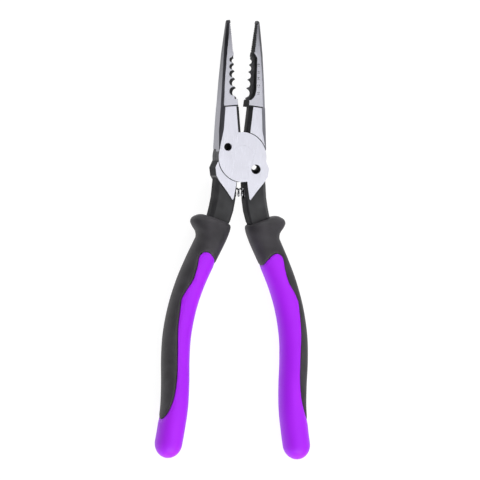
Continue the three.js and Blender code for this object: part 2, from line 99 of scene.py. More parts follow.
camera = bpy.data.objects.new("camera", bpy.data.cameras.new("camera"))
bpy.context.scene.collection.objects.link(camera)
bpy.context.scene.camera = camera
camera.data.sensor_width = SENSOR_WIDTH
camera.data.lens = SENSOR_WIDTH * CAMERA_DISTANCE / VIEW_WIDTH
camera.data.clip_end = FARTHEST_SEEN
aim = joint_middle + camera_right * AIM_BESIDE_PIVOT - camera_up * AIM_BELOW_PIVOT
turn = Matrix((camera_right, camera_up, camera_back)).transposed().to_4x4()
camera.matrix_world = Matrix.Translation(aim + camera_back * CAMERA_DISTANCE) @ turn
print("lens in mm:", round(camera.data.lens))

# %% [markdown]
# ## Helpers for finishes
# Every finish is one Principled shader with procedural detail. Detail is placed by the object's own
# coordinates, which are metres in this model, so a grain of a tenth of a millimetre can be asked for
# directly and stays put when the tool opens and closes.

# %% A plain finish and its grain
def new_finish(name, colour, roughness, metallic=0.0):
    """A material with its Principled shader, and the tree to build detail in."""
    material = bpy.data.materials.new(name)
    material.use_nodes = True
    tree = material.node_tree
    shader = tree.nodes["Principled BSDF"]
    shader.inputs["Base Color"].default_value = (*colour, 1)
    shader.inputs["Roughness"].default_value = roughness
    shader.inputs["Metallic"].default_value = metallic
    return material, tree, shader


def grain(tree, size, stretch=(1, 1, 1), detail=3.0):
    """Noise whose grains are size millimetres across, drawn out by stretch along each axis."""
    place = tree.nodes.new("ShaderNodeTexCoord")
    scaling = tree.nodes.new("ShaderNodeMapping")
    scaling.inputs["Scale"].default_value = [1 / (size * MM * s) for s in stretch]
    noise = tree.nodes.new("ShaderNodeTexNoise")
    noise.inputs["Scale"].default_value = 1
    noise.inputs["Detail"].default_value = detail
    tree.links.new(place.outputs["Object"], scaling.inputs["Vector"])
    tree.links.new(scaling.outputs["Vector"], noise.inputs["Vector"])
    return noise.outputs["Fac"]


print("a grain of 0.1 mm is noise at a scale of", round(1 / (0.1 * MM)))

# %% Spread, tint and relief
def spread(tree, value, low, high, from_low=0.3, from_high=0.7):
    """Stretches a value out between low and high. Noise lies mostly between 0.3 and 0.7."""
    node = tree.nodes.new("ShaderNodeMapRange")
    node.inputs["From Min"].default_value = from_low
    node.inputs["From Max"].default_value = from_high
    node.inputs["To Min"].default_value = low
    node.inputs["To Max"].default_value = high
    tree.links.new(value, node.inputs["Value"])
    return node.outputs["Result"]


def tint(tree, share, first, second):
    """A colour between first and second, by share. Each may be a colour or another node's output."""
    node = tree.nodes.new("ShaderNodeMix")
    node.data_type = "RGBA"
    colour_in = [socket for socket in node.inputs if socket.type == "RGBA"]
    for socket, colour in zip(colour_in, (first, second)):
        if isinstance(colour, bpy.types.NodeSocket):
            tree.links.new(colour, socket)
        else:
            socket.default_value = (*colour, 1)
    tree.links.new(share, node.inputs["Factor"])
    return [socket for socket in node.outputs if socket.type == "RGBA"][0]


def relief(tree, shader, value, depth):
    """Bumps the surface by a height in millimetres."""
    node = tree.nodes.new("ShaderNodeBump")
    node.inputs["Strength"].default_value = 1
    node.inputs["Distance"].default_value = depth * MM
    tree.links.new(value, node.inputs["Height"])
    tree.links.new(node.outputs["Normal"], shader.inputs["Normal"])


print("a relief of 0.1 mm is a bump distance of", 0.1 * MM)

# %% [markdown]
# ## Steel finishes
# A forged tool gets its colour from how each face was worked. The faces that lay on the grinding wheel
# are bright, with fine scratches along the tool. The backs of the jaws are linished on a belt and look
# greyer. Both are painted darker towards the tips, a painted shade for the tips that the belt has rounded
# off. Everything that the wheel doesn't reach keeps the black oxide of the hardening bath: glossy where
# hands rub the necks, dull in the corners, paler where a cutter has gone through it, and brushed thin on
# the rim and the tips.

# %% Ground and linished steel
# Where the painted shade towards the jaw tips begins and where it is full on the walls, in mm from the
# pivot.
WALL_TIP_SHADE_SPAN = (26, 56)
SCRATCH_WIDTH = 0.12
SCRATCH_STRETCH = 45
SCRATCH_SMOOTHER = 0.05
SCRATCH_ROUGHER = 0.08
CLOUD_SIZE = 9
DARKER_CLOUD = 0.98
LIGHTER_CLOUD = 1.015


def place_along(tree):
    """How far a point lies from the pivot towards the jaw tips."""
    place = tree.nodes.new("ShaderNodeTexCoord")
    split = tree.nodes.new("ShaderNodeSeparateXYZ")
    tree.links.new(place.outputs["Object"], split.inputs["Vector"])
    return split.outputs["Y"]


def ground_steel(name, colour, roughness, scratch_depth, tip_shade_colour=None, tip_shade_span=WALL_TIP_SHADE_SPAN):
    """Bright metal with fine scratches along the tool, and a painted shade towards the jaw tips if a tip
    colour is given.
    """
    material, tree, shader = new_finish(name, colour, roughness, metallic=1.0)
    scratches = grain(tree, SCRATCH_WIDTH, stretch=(1, SCRATCH_STRETCH, 1))
    clouds = grain(tree, CLOUD_SIZE)
    darker = [channel * DARKER_CLOUD for channel in colour]
    lighter = [min(channel * LIGHTER_CLOUD, 1) for channel in colour]
    base = tint(tree, spread(tree, clouds, 0, 1), darker, lighter)
    # Painted shade: the base colour runs to the darker tip colour towards the jaw tips, standing in for
    # the shading of the rounded tips.
    if tip_shade_colour:
        start, end = tip_shade_span
        nearness = spread(tree, place_along(tree), 0, 1, start * MM, end * MM)
        base = tint(tree, nearness, base, tip_shade_colour)
    tree.links.new(base, shader.inputs["Base Color"])
    uneven = spread(tree, scratches, roughness - SCRATCH_SMOOTHER, roughness + SCRATCH_ROUGHER)
    tree.links.new(uneven, shader.inputs["Roughness"])
    relief(tree, shader, scratches, scratch_depth)
    return material


print("scratches in mm, across and along:", SCRATCH_WIDTH, round(SCRATCH_WIDTH * SCRATCH_STRETCH, 1))

# %% Black oxide
OXIDE_GRAIN = 0.35
OXIDE_GRAIN_DETAIL = 5
OXIDE_RELIEF = 0.03
OXIDE_SMOOTHER = 0.08
OXIDE_ROUGHER = 0.1
OXIDE_PATCH = 6
PATCH_BRIGHTER = 1.5
PATCH_LIFT = 0.006


def black_oxide(name, colour, roughness, gloss):
    """The dark skin of hardened steel, with a fine grain and slightly lighter patches."""
    material, tree, shader = new_finish(name, colour, roughness)
    shader.inputs["Specular IOR Level"].default_value = gloss
    skin_grain = grain(tree, OXIDE_GRAIN, detail=OXIDE_GRAIN_DETAIL)
    patches = grain(tree, OXIDE_PATCH)
    lighter = [channel * PATCH_BRIGHTER + PATCH_LIFT for channel in colour]
    base = tint(tree, spread(tree, patches, 0, 1), colour, lighter)
    tree.links.new(base, shader.inputs["Base Color"])
    uneven = spread(tree, skin_grain, roughness - OXIDE_SMOOTHER, roughness + OXIDE_ROUGHER)
    tree.links.new(uneven, shader.inputs["Roughness"])
    relief(tree, shader, skin_grain, OXIDE_RELIEF)
    return material


print("oxide grain in mm, across and high:", OXIDE_GRAIN, OXIDE_RELIEF)

# %% The steel finishes
# Where the painted shade towards the jaw tips begins and is full on the ground faces, in mm. The last
# colour given to the ground and linished finishes is that painted tip shade.
FACE_TIP_SHADE_SPAN = (52, 64)
STEEL_FINISHES = {
    "ground": ground_steel(
        "ground_face_steel", (0.76, 0.76, 0.84), 0.31, 0.0025, (0.48, 0.48, 0.54), FACE_TIP_SHADE_SPAN,
    ),
    "linished": ground_steel("linished_wall_steel", (0.30, 0.30, 0.34), 0.36, 0.006, (0.07, 0.07, 0.08)),
    "rubbed oxide": black_oxide("rubbed_oxide_steel", (0.024, 0.024, 0.026), 0.46, 0.4),
    "dull oxide": black_oxide("dull_oxide_steel", (0.026, 0.026, 0.028), 0.62, 0.05),
    "cut oxide": black_oxide("cut_oxide_steel", (0.07, 0.07, 0.074), 0.6, 0.1),
    "brushed oxide": black_oxide("brushed_oxide_steel", (0.04, 0.04, 0.046), 0.5, 0.25),
    "stamped": black_oxide("stamped_mark_steel", (0.05, 0.05, 0.06), 0.6, 0.1),
}
print("steel finishes:", ", ".join(STEEL_FINISHES))

# %% [markdown]
# ## The two steel halves
# The working model already has the true forging: jaws, notches, scoops, cutter, joint and necks. Its
# flat faces are split into triangles and its corners are knife sharp. So each half is copied, its
# faces are joined up again, and every long corner is later broken by a small bevel, as tumbling does.

# %% Copy the halves
SAME_POINT = 0.001 * MM
SAME_PLANE = math.radians(0.6)


def copy_of(node, name):
    """A piece with the node's own mesh, its triangles joined into whole faces."""
    piece = bpy.data.objects.new(name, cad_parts[node].data.copy())
    piece.data.materials.clear()
    bpy.context.scene.collection.objects.link(piece)
    bm = bmesh.new()
    bm.from_mesh(piece.data)
    bmesh.ops.remove_doubles(bm, verts=bm.verts, dist=SAME_POINT)
    bmesh.ops.dissolve_limit(bm, angle_limit=SAME_PLANE, verts=bm.verts, edges=bm.edges)
    bm.to_mesh(piece.data)
    bm.free()
    return piece


steel = {node: copy_of(node, node + "_steel") for node in ("front_half", "rear_half")}
for half in steel.values():
    print(half.name, "whole faces:", len(half.data.polygons))

# %% [markdown]
# ## A finish for each face
# The faces could be picked by hand. Here each half is looked at as it was drawn: jaws shut, mid-plane at
# z = 0, jaw on the left, and then one rule serves both halves. It asks where a face lies and which way
# it looks, as a grinder would. The outermost flat faces were ground, and so were the noses. The backs of
# the jaws were linished. The rim of the joint and the very tips were brushed, and all the rest keeps its
# oxide: rubbed, cut or dull.

# %% Pick a finish for each face
REST_OPENING_DEG = 11.6
HALF_OPENING = math.radians(REST_OPENING_DEG / 2)
JOINT_RADIUS = 12.2 * MM
FLAT = 0.9
LEANING = 0.3
NOSE_START = 24 * MM
NOSE_LEAST_DEPTH = 1.5 * MM
JAW_BACK_START = 2 * MM
TIP_START = 65.8 * MM
FACE_BAND = 0.15 * MM

as_drawn = {
    "front_half": Matrix.Rotation(-HALF_OPENING, 4, "Z"),
    "rear_half": Matrix.Rotation(math.pi, 4, "Y") @ Matrix.Rotation(HALF_OPENING, 4, "Z"),
}
to_mid_plane = Matrix.Translation(-joint_middle)


def finish_of(centre, normal):
    """The finish of a face, from its centre and its normal as drawn."""
    depth = abs(centre.z)
    flat = abs(normal.z) > FLAT
    if flat and depth > joint_middle.z - FACE_BAND:
        return "ground"
    if centre.y > TIP_START:
        return "brushed oxide"
    if flat and centre.y > NOSE_START and depth > NOSE_LEAST_DEPTH:
        return "ground"
    if abs(normal.z) < LEANING and abs(centre.xy.length - JOINT_RADIUS) < FACE_BAND:
        return "brushed oxide"
    if centre.y > JAW_BACK_START and (normal.x < -LEANING or normal.y > FLAT):
        return "linished"
    if centre.y < 0 and -LEANING < normal.x < FLAT and centre.xy.length > JOINT_RADIUS:
        return "rubbed oxide"
    if flat and centre.y > 0:
        return "cut oxide"
    return "dull oxide"


def give_finishes(piece, node):
    """Gives each face of a half its own finish, by the rule above."""
    turn = as_drawn[node] @ to_mid_plane
    names = list(STEEL_FINISHES)
    for name in names:
        piece.data.materials.append(STEEL_FINISHES[name])
    for face in piece.data.polygons:
        face.material_index = names.index(finish_of(turn @ face.center, turn.to_3x3() @ face.normal))
    print(piece.name, "faces given a finish:", len(piece.data.polygons))


for node, half in steel.items():
    give_finishes(half, node)

# %% [markdown]
# ## Gauge numbers
# Each stripping notch is for one gauge of wire, and its number is stamped beside it on the right jaw. A
# stamp leaves a shallow mark with a dark floor. Each number is text turned into a solid, and it is sunk
# into the face where a ray from above meets it.

# %% A stamp for a number
UP = Vector((0, 0, 1))
NUMBER_HEIGHT = 1.7 * MM
STAMP_DEPTH = 0.12 * MM
STAMP_CURVE_STEPS = 3
STAMP_WELD = 0.002 * MM


def object_from(bm, name):
    """A new object that holds the mesh in bm, which is in metres."""
    mesh = bpy.data.meshes.new(name)
    bm.to_mesh(mesh)
    bm.free()
    piece = bpy.data.objects.new(name, mesh)
    bpy.context.scene.collection.objects.link(piece)
    return piece


def number_stamp(text, x, y, jaw):
    """A solid number that reads up the jaw, with its lower side under the jaw's face."""
    curve = bpy.data.curves.new("stamp", "FONT")
    curve.body = text
    curve.size = NUMBER_HEIGHT
    curve.align_x = "CENTER"
    curve.align_y = "CENTER"
    curve.resolution_u = STAMP_CURVE_STEPS
    curve.extrude = STAMP_DEPTH
    letters = bpy.data.objects.new("stamp", curve)
    bpy.context.scene.collection.objects.link(letters)
    bpy.context.view_layer.update()
    evaluated = letters.evaluated_get(bpy.context.evaluated_depsgraph_get())
    mesh = bpy.data.meshes.new_from_object(evaluated)
    bpy.data.objects.remove(letters)
    found, hit, normal, _ = jaw.ray_cast(Vector((x, y, 1)), Vector((0, 0, -1)))
    lean = UP.rotation_difference(normal).to_matrix().to_4x4()
    mesh.transform(Matrix.Translation(hit) @ lean @ Matrix.Rotation(math.pi / 2, 4, "Z"))
    bm = bmesh.new()
    bm.from_mesh(mesh)
    bmesh.ops.remove_doubles(bm, verts=bm.verts, dist=STAMP_WELD)
    stamp = object_from(bm, "stamp")
    stamp.data.materials.append(STEEL_FINISHES["stamped"])
    print("number", text, "met the jaw:", found, "at height in mm:", round(hit.z / MM, 2))
    return stamp


print("stamps sink in by mm:", round(STAMP_DEPTH / MM, 2))

# %% [markdown]
# ## Stamp the jaw
# The stamps are cut away with the boolean modifier, and its result is kept as a plain mesh. A painted
# number would do from far away, but a true dent catches the light from every side.

# %% Stamp the gauge numbers
GAUGES = {"18": 45.0, "16": 41.5, "14": 38.4, "12": 34.8, "10": 31.2}
NUMBER_PLACE_X = 7.6 * MM


def combine(piece, tool, operation):
    """Joins tool to the piece, or cuts it away or to it, and removes the tool."""
    modifier = piece.modifiers.new("combine", "BOOLEAN")
    modifier.operation = operation
    modifier.solver = "MANIFOLD"
    modifier.material_mode = "TRANSFER"
    modifier.object = tool
    bpy.context.view_layer.update()
    evaluated = piece.evaluated_get(bpy.context.evaluated_depsgraph_get())
    mesh = bpy.data.meshes.new_from_object(evaluated)
    piece.modifiers.clear()
    piece.data = mesh
    bpy.data.objects.remove(tool)
    return piece


for text, y in GAUGES.items():
    stamp = number_stamp(text, NUMBER_PLACE_X, y * MM, steel["rear_half"])
    combine(steel["rear_half"], stamp, "DIFFERENCE")
marked = steel["rear_half"].data
stamped_slot = marked.materials.find("stamped_mark_steel")
print("faces in the stamped marks:", sum(face.material_index == stamped_slot for face in marked.polygons))

# %% [markdown]
# ## Corners
# Tumbling takes the knife edge off a forging. A bevel modifier would round every corner past one angle.
# Here the edges are chosen first: the long, sharp corners, but not the rivet's seat, the stamped numbers
# or places where very short edges crowd together and a bevel would overlap itself.

# %% Break the corners
CORNER_BREAK = 0.12 * MM
CORNER_FACETS = 2
SHORTEST_BROKEN_EDGE = 0.28 * MM
SHARPEST_LEFT_DEG = 24
RIVET_SEAT = 6.2 * MM


def break_corners(piece, left_sharp):
    """Bevels the long corners, apart from the rivet's seat and the edges of faces in one finish."""
    bm = bmesh.new()
    bm.from_mesh(piece.data)
    crowded = {v for e in bm.edges if e.calc_length() < SHORTEST_BROKEN_EDGE for v in e.verts}
    seat = {v for v in bm.verts if v.co.xy.length < RIVET_SEAT}
    corners = [
        edge for edge in bm.edges
        if edge.calc_face_angle(0) > math.radians(SHARPEST_LEFT_DEG)
        and not crowded.intersection(edge.verts) and not seat.issuperset(edge.verts)
        and all(face.material_index != left_sharp for face in edge.link_faces)
    ]
    bmesh.ops.bevel(
        bm, geom=corners, offset=CORNER_BREAK, segments=CORNER_FACETS, profile=0.5, affect="EDGES",
        clamp_overlap=False, offset_type="OFFSET", material=-1,
    )
    print(piece.name, "corners broken:", len(corners), "faces now:", len(bm.faces))
    bm.to_mesh(piece.data)
    bm.free()


for half in steel.values():
    break_corners(half, left_sharp=list(STEEL_FINISHES).index("stamped"))

# %% [markdown]
# ## Shading and bodies
# A weighted-normal modifier keeps the ground faces looking flat right up to their bevels. Each half then
# rides on its own body of the model, so that it turns about the rivet as the real one does.

# %% Finish the halves
BODY_OF_HALF = {"front_half": "front_body", "rear_half": "rear_body"}


def smooth_shade(piece, sharp_angle_deg):
    """Shades the piece smoothly, apart from edges sharper than the angle."""
    bm = bmesh.new()
    bm.from_mesh(piece.data)
    limit = math.radians(sharp_angle_deg)
    for face in bm.faces:
        face.smooth = True
    for edge in bm.edges:
        edge.smooth = len(edge.link_faces) == 2 and edge.calc_face_angle() < limit
    bm.to_mesh(piece.data)
    bm.free()


for node, half in steel.items():
    smooth_shade(half, SHARPEST_LEFT_DEG)
    half.modifiers.new("flat faces stay flat", "WEIGHTED_NORMAL").keep_sharp = True
    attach(half, BODY_OF_HALF[node])
    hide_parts(node)
    print(half.name, "rides on", BODY_OF_HALF[node])

# %% [markdown]
# ## Skins
# From here on each piece of the tool is drawn in millimetres, as rings of points with a skin over them.
# That is how a turned piece or a moulding changes along its length: one section after another. It gives
# clean rows of faces, which a sculpted shape would not.

# %% A skin over rings of points
def skin(rings, name):
    """A closed skin through rings of points in millimetres, with both ends filled."""
    bm = bmesh.new()
    loops = [[bm.verts.new(point * MM) for point in ring] for ring in rings]
    for ring, after in zip(loops, loops[1:]):
        for side in range(len(ring)):
            beside = (side + 1) % len(ring)
            bm.faces.new((ring[side], ring[beside], after[beside], after[side]))
    bm.faces.new(reversed(loops[0]))
    bm.faces.new(loops[-1])
    bmesh.ops.recalc_face_normals(bm, faces=bm.faces)
    return object_from(bm, name)


print("shapes are drawn in mm and kept in metres, so 1 mm is kept as", MM)

# %% [markdown]
# ## Pivot rivet
# The rivet is hammered into a countersink on each side and then ground off together with the faces, so
# a good one is only a hairline. It is turned from an outline, like work on a lathe, and it fills its
# countersinks more closely than the working model can.

# %% Pivot rivet
RIVET_SIDES = 80
RIVET_RIM_DEG = 30
HAIRLINE = 0.03
SEAT_RADIUS = 5.7
BORE_RADIUS = 4.2
HEAD_RADIUS = SEAT_RADIUS - HAIRLINE
SHANK_RADIUS = BORE_RADIUS - HAIRLINE
HEAD_DEPTH = 1.6
half_thickness = joint_middle.z / MM
RIVET_OUTLINE = [
    (HEAD_RADIUS, half_thickness), (SHANK_RADIUS, half_thickness - HEAD_DEPTH),
    (SHANK_RADIUS, HEAD_DEPTH - half_thickness), (HEAD_RADIUS, -half_thickness),
]


def circle_points(radius, sides):
    """The points of a circle round the Z axis, as (x, y)."""
    turns = [2 * math.pi * side / sides for side in range(sides)]
    return [(radius * math.cos(turn), radius * math.sin(turn)) for turn in turns]


def ring_at(radius, z):
    """A ring round the pivot axis, in millimetres."""
    return [Vector((x, y, z + half_thickness)) for x, y in circle_points(radius, RIVET_SIDES)]


rivet = skin([ring_at(radius, z) for radius, z in RIVET_OUTLINE], "pivot_rivet_steel")
rivet.data.materials.append(STEEL_FINISHES["ground"])
smooth_shade(rivet, RIVET_RIM_DEG)
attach(rivet, "rear_body")
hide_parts("pivot_rivet")
print("rivet head across in mm:", round(rivet.dimensions.x / MM, 2))

# %% [markdown]
# ## Return spring
# A small open coil of drawn wire pushes the handles apart. Its last turn at each end lies flat, so that
# it stands square on the floor of its pocket. A curve with a round bevel could draw the wire too. A skin
# of round sections along a helix is a mesh from the start.

# %% The path of the coil
WIRE_RADIUS = 0.4
COIL_TURNS = 7
CLOSED_PITCH = 0.85
spring_low, spring_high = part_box("return_spring")
coil_centre = (spring_low + spring_high) / 2 / MM
coil_reach = (spring_high.x - spring_low.x) / 2 / MM - WIRE_RADIUS
coil_radius = (spring_high.z - spring_low.z) / 2 / MM - WIRE_RADIUS


def coil_advance(turn):
    """How far along the coil the wire has come after so many turns, with a closed turn at each end."""
    open_pitch = (2 * coil_reach - 2 * CLOSED_PITCH) / (COIL_TURNS - 2)
    if turn < 1:
        return turn * CLOSED_PITCH
    if turn > COIL_TURNS - 1:
        return 2 * coil_reach - (COIL_TURNS - turn) * CLOSED_PITCH
    return CLOSED_PITCH + (turn - 1) * open_pitch


def coil_point(turn):
    """The middle of the wire after so many turns, in millimetres."""
    angle = 2 * math.pi * turn
    along = coil_advance(turn) - coil_reach
    return coil_centre + Vector((along, coil_radius * math.cos(angle), coil_radius * math.sin(angle)))


print("spring turns:", COIL_TURNS, "across in mm:", round(2 * (coil_radius + WIRE_RADIUS), 2))

# %% The wire of the spring
STEPS_PER_TURN = 28
WIRE_SIDES = 12
WIRE_END_DEG = 50
SMALL_TURN = 0.01


def wire_ring(turn):
    """The wire's round section, square to the way it runs."""
    centre = coil_point(turn)
    along = (coil_point(turn + SMALL_TURN) - coil_point(turn - SMALL_TURN)).normalized()
    outward = (centre - Vector((centre.x, coil_centre.y, coil_centre.z))).normalized()
    beside = along.cross(outward).normalized()
    ring = []
    for side in range(WIRE_SIDES):
        angle = 2 * math.pi * side / WIRE_SIDES
        ring.append(centre + (outward * math.cos(angle) + beside * math.sin(angle)) * WIRE_RADIUS)
    return ring


wire_steel = ground_steel("drawn_wire_steel", (0.36, 0.36, 0.38), 0.2, 0.002)
steps = COIL_TURNS * STEPS_PER_TURN
spring = skin([wire_ring(step / STEPS_PER_TURN) for step in range(steps + 1)], "return_spring_wire")
spring.data.materials.append(wire_steel)
smooth_shade(spring, WIRE_END_DEG)
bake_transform(spring)
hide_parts("return_spring")
print(spring.name, "faces:", len(spring.data.polygons))

# %% [markdown]
# ## The form of a grip
# Both grips are one moulding, turned over for the other hand. Its centre line bows outwards and back
# in. Round that line runs a section that is a little squarer than an ellipse, and a thumb collar swells
# out of it at the top. The line, the collar and the seam are all smooth curves through a few points.

# %% A smooth curve through points
def curve_through(points, steps):
    """A smooth line through the points, with steps small pieces between each two."""
    points = [Vector(point) for point in points]
    before = points[0] * 2 - points[1]
    after = points[-1] * 2 - points[-2]
    path = [before, *points, after]
    line = []
    for p0, p1, p2, p3 in zip(path, path[1:], path[2:], path[3:]):
        d0, d1, d2 = [math.sqrt((end - start).length) for start, end in ((p0, p1), (p1, p2), (p2, p3))]
        leave = ((p1 - p0) / d0 - (p2 - p0) / (d0 + d1) + (p2 - p1) / d1) * d1
        arrive = ((p2 - p1) / d1 - (p3 - p1) / (d1 + d2) + (p3 - p2) / d2) * d1
        for step in range(steps):
            t = step / steps
            bend = (p2 - p1) * 3 - leave * 2 - arrive
            ease = (p1 - p2) * 2 + leave + arrive
            line.append(p1 + leave * t + bend * t ** 2 + ease * t ** 3)
    line.append(points[-1])
    return line


arch = curve_through([(0, 0, 0), (1, 1, 0), (2, 0, 0)], 4)
print("a curve through 3 points in steps of 4 has points:", len(arch))

# %% [markdown]
# ## The centre line
# The points below lie in the middle of the right grip, measured from the pivot in millimetres while the
# jaws are shut. A list of distances along the curve then lets any place be asked for by how far down the
# grip it lies.

# %% The centre line of a grip
GRIP_LINE = [
    (7.7, -31.9), (10.4, -43), (13.9, -53.4), (17.3, -64.5), (19.7, -76.5), (20.7, -90),
    (20.0, -102), (18.6, -113.5), (17.7, -125), (17.9, -135.5), (18.8, -150),
]
LINE_STEPS = 60
centre_line = curve_through([(x, y, 0) for x, y in GRIP_LINE], LINE_STEPS)
distances = [0.0]
for here, there in zip(centre_line, centre_line[1:]):
    distances.append(distances[-1] + (there - here).length)
GRIP_LENGTH = distances[-1]


def grip_place(distance):
    """The point so far down the centre line, and the direction away from the other grip."""
    index = min(max(bisect.bisect(distances, distance), 1), len(distances) - 1)
    start, end = centre_line[index - 1], centre_line[index]
    share = (distance - distances[index - 1]) / (distances[index] - distances[index - 1])
    return start.lerp(end, share), UP.cross(end - start).normalized()


print("grip length in mm:", round(GRIP_LENGTH, 1))

# %% [markdown]
# ## The section
# Each collar station gives a distance down the line and how far the grip reaches inwards, outwards and
# forwards there. The long swell outwards at 3 to 5 mm is the thumb stop, which keeps a wet hand from
# sliding on to the jaws. Below the collar the section keeps one thickness and gets slightly slimmer
# towards the end.

# %% How far a grip reaches
GRIP_HALF_WIDTH = 6.7
GRIP_END_HALF_WIDTH = 6.4
GRIP_HALF_THICKNESS = 8.2
GRIP_END_ROUND = 7.5
GRIP_TAPER_START = 70
COLLAR_STEPS = 12
COLLAR_STATIONS = [
    (0, 6.9, 8.6, 7.0), (1.2, 7.5, 10.4, 8.0), (3, 7.7, 12.0, 8.6), (4.8, 7.7, 12.1, 8.8),
    (6.6, 7.6, 10.6, 8.8), (8.6, 7.5, 8.0, 8.7), (11, 7.3, 6.7, 8.5), (14, 7.1, 6.7, 8.4),
    (22, 6.9, 6.8, GRIP_HALF_THICKNESS), (40, GRIP_HALF_WIDTH, GRIP_HALF_WIDTH, GRIP_HALF_THICKNESS),
]
collar_curve = curve_through(COLLAR_STATIONS, COLLAR_STEPS)


def lerp(first, last, share):
    """The value that lies a share of the way from first to last."""
    return first + (last - first) * share


def grip_size(distance):
    """How far the grip reaches inwards, outwards and forwards at a distance down its line."""
    for before, after in zip(collar_curve, collar_curve[1:]):
        if distance <= after[0]:
            share = (distance - before[0]) / (after[0] - before[0])
            return [lerp(before[k], after[k], share) for k in (1, 2, 3)]
    taper = (distance - GRIP_TAPER_START) / (GRIP_LENGTH - GRIP_END_ROUND - GRIP_TAPER_START)
    taper = min(max(taper, 0), 1)
    width = lerp(GRIP_HALF_WIDTH, GRIP_END_HALF_WIDTH, taper ** 2 * (3 - 2 * taper))
    return [width, width, GRIP_HALF_THICKNESS]


print("the thumb stop reaches outwards in mm:", max(station[2] for station in COLLAR_STATIONS))

# %% A ring round a grip
GRIP_SQUARENESS = 2.3
GRIP_SIDES = 88


def rounded(value):
    """A sine or cosine pushed outwards, which turns an ellipse into a slightly squarer section."""
    return math.copysign(abs(value) ** (2 / GRIP_SQUARENESS), value)


def grip_ring(distance, scale=1.0, inset=0.0):
    """The grip's section at a distance down its line."""
    point, outward = grip_place(distance)
    inner, outer, deep = [size * scale - inset for size in grip_size(distance)]
    ring = []
    for side in range(GRIP_SIDES):
        angle = 2 * math.pi * side / GRIP_SIDES
        across = rounded(math.cos(angle)) * (outer if math.cos(angle) > 0 else inner)
        ring.append(point + outward * across + UP * rounded(math.sin(angle)) * deep)
    return ring


print("points in a ring round the grip:", len(grip_ring(GRIP_LENGTH / 2)))

# %% [markdown]
# ## The seam between the two colours
# The grey skin is moulded over the purple core and ends in a narrow groove. The seam starts at the
# tongue under the collar, runs down the front and the back, and sweeps out to the edge near the end. Its
# line is kept in a search tree too, which tells how near any point is to it.

# %% The line of the seam
SEAM_STATIONS = [
    (24, -8.6), (19.2, -5), (17.4, -1.2), (17.6, 1.2), (20, 2.8), (26.6, 1.6), (33, 1.2), (39, 2.6),
    (43, 3.2), (48.4, 2.6), (57, 1.9), (69, 1.0), (81, 1.2), (91, 2.5), (98, 4.3), (102, 6.0),
    (105.5, 8.6),
]
SEAM_STEPS = 14


def seam_point(distance, side):
    """The point so far down the grip and so far to the outer side of its centre line."""
    point, outward = grip_place(distance)
    return point + outward * side


seam_line = curve_through([seam_point(*station) for station in SEAM_STATIONS], SEAM_STEPS)
seam_tree = kdtree.KDTree(len(seam_line))
for index, point in enumerate(seam_line):
    seam_tree.insert(point, index)
seam_tree.balance()
seam_length = sum((after - here).length for here, after in zip(seam_line, seam_line[1:]))
print("seam length in mm:", round(seam_length, 1))

# %% [markdown]
# ## The form, sunk at the seam
# The whole form first sinks a little towards the seam, and the two parts are later cut apart in it. The
# core sinks over a narrow shoulder and the rubber over a wider one, as a soft lip would. The form starts
# with a small round lip at the collar and ends in a round cap.

# %% The form of a whole grip
SHOULDER_CURVE = 1.5
LIP_ROUND = 0.7
LIP_STEPS = 6
BODY_STEPS = 270
END_STEPS = 22
END_LEFT_OPEN = 0.6


def sink_at_seam(point, centre, depth, shoulder):
    """The surface point, moved towards the centre line where it is near the seam."""
    plan = Vector((point.x, point.y, 0))
    nearness = 1 - seam_tree.find(plan)[2] / shoulder
    if nearness <= 0:
        return point
    return point + (centre - point).normalized() * depth * nearness ** SHOULDER_CURVE


def grip_form(seam_sink, name):
    """The outer form of a whole grip, sunk to a depth along the seam over a shoulder."""
    stations = []
    for step in range(LIP_STEPS + 1):
        angle = math.pi / 2 * step / LIP_STEPS
        stations.append((LIP_ROUND * (1 - math.cos(angle)), 1.0, LIP_ROUND * (1 - math.sin(angle))))
    end = GRIP_LENGTH - GRIP_END_ROUND
    for step in range(1, BODY_STEPS + 1):
        stations.append((lerp(LIP_ROUND, end, step / BODY_STEPS), 1.0, 0.0))
    for step in range(1, END_STEPS + 1):
        angle = math.pi / 2 * step / (END_STEPS + END_LEFT_OPEN)
        stations.append((end + GRIP_END_ROUND * math.sin(angle), math.cos(angle), 0.0))
    rings = []
    for distance, scale, inset in stations:
        centre = grip_place(distance)[0]
        rings.append([sink_at_seam(p, centre, *seam_sink) for p in grip_ring(distance, scale, inset)])
    return skin(rings, name)


print("rings in a grip:", LIP_STEPS + 1 + BODY_STEPS + END_STEPS)

# %% [markdown]
# ## The inner side
# One form in two colours would do from far away, but a real groove holds its shadow from every side. To
# cut the form apart, a thick plate is laid over everything on the inner side of the seam. What lies in
# the plate becomes the core. A plate that reaches further by the width of the groove leaves the skin.

# %% A plate over the inner side
SEAM_GAP = 0.3
SIDE_REACH = 14


def plate(outline, bottom, top, name):
    """An outline of (x, y) points in millimetres, with a thickness from z = bottom to z = top."""
    return skin([[Vector((x, y, z)) for x, y in outline] for z in (bottom, top)], name)


def inner_side(shift, name):
    """A plate over the inner side and the end of the grip, whose edge lies shift beyond the seam."""
    outline = []
    ahead = [*seam_line[1:], seam_line[-1]]
    for before, here, after in zip([seam_line[0], *seam_line], seam_line, ahead):
        beside = UP.cross(after - before).normalized()
        outline.append(here + beside * shift)
    end = grip_place(GRIP_LENGTH)[0]
    first, last = outline[0], outline[-1]
    corners = [
        (last.x + SIDE_REACH, last.y), (end.x + SIDE_REACH, end.y - SIDE_REACH),
        (end.x - SIDE_REACH, end.y - SIDE_REACH), (first.x - SIDE_REACH / 2, first.y - SIDE_REACH),
    ]
    outline = [(p.x, p.y) for p in outline] + corners
    depth = 2 * GRIP_HALF_THICKNESS
    return plate(outline, -depth, depth, name)


print("groove between the two colours in mm:", SEAM_GAP)

# %% [markdown]
# ## The hollow inside a grip
# The steel tang runs far down inside the grip, and a tube of the hard core closes round it. The tang's
# space and the tube are flat bars with cut corners, which follow the same centre line. The hollow hardly
# shows, but with it no two pieces fill the same space.

